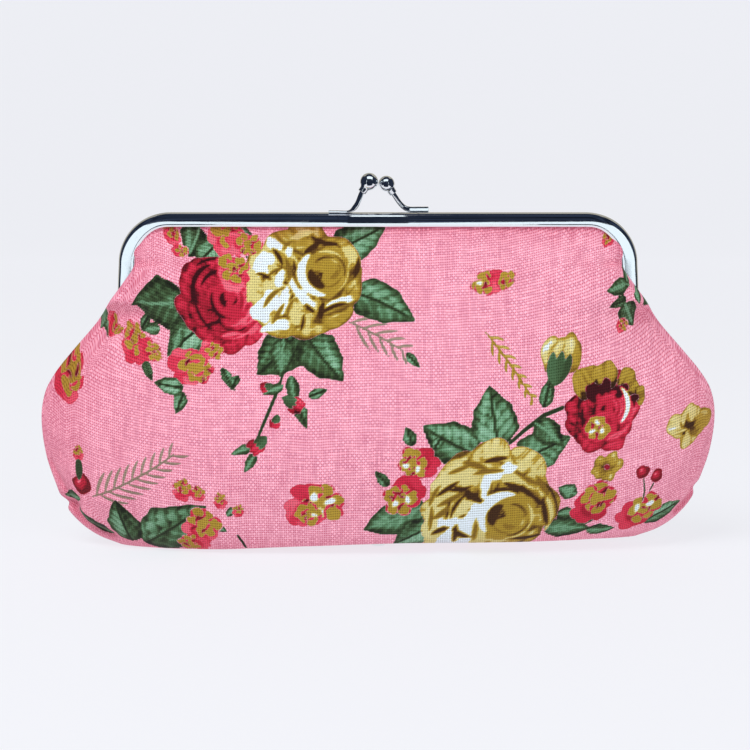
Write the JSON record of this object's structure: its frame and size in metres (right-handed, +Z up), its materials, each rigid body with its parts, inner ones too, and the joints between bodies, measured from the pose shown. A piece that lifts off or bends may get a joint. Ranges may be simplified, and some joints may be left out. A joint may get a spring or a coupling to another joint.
{
  "type": "coin purse",
  "caption": "Long lined canvas purse, hung from a hinged chrome channel frame that opens at the top and snaps shut with a ball clasp.",
  "frame": {"origin": "middle of the flat bottom of the bag, on the surface it stands on", "axes": "+X along the purse's width to the right, +Y towards its back, +Z up towards the clasp"},
  "size_m": [0.1998, 0.0392, 0.1105],
  "materials": {
    "chrome": "polished nickel-chrome plate on folded steel",
    "printed_canvas": "plain-weave pink canvas printed with roses and leaves",
    "lining": "plain cream cotton lining",
    "paper_cord": "twisted kraft paper cord"
  },
  "bodies": {
    "bag": {"front_canvas": "printed_canvas", "back_canvas": "printed_canvas", "front_lining": "lining", "back_lining": "lining", "left_hinge_rivet": "chrome", "right_hinge_rivet": "chrome"},
    "front_half": {"front_frame": "chrome", "front_clasp_stem": "chrome", "front_clasp_ball": "chrome", "front_paper_cord": "paper_cord", "front_canvas_yoke": "printed_canvas", "front_lining_yoke": "lining"},
    "back_half": {"back_frame": "chrome", "back_clasp_stem": "chrome", "back_clasp_ball": "chrome", "back_paper_cord": "paper_cord", "back_canvas_yoke": "printed_canvas", "back_lining_yoke": "lining"}
  },
  "joints": [
    {"name": "front_open", "type": "hinge", "parent": "bag", "child": "front_half", "pos_m": [0, 0, 0.069], "axis": [1, 0, 0], "range_deg": [0, 45]},
    {"name": "back_open", "type": "hinge", "parent": "bag", "child": "back_half", "pos_m": [0, 0, 0.069], "axis": [1, 0, 0], "range_deg": [-45, 0]}
  ],
  "couplings": [
    {"joint": "back_open", "follows": "front_open", "ratio": -1}
  ]
}
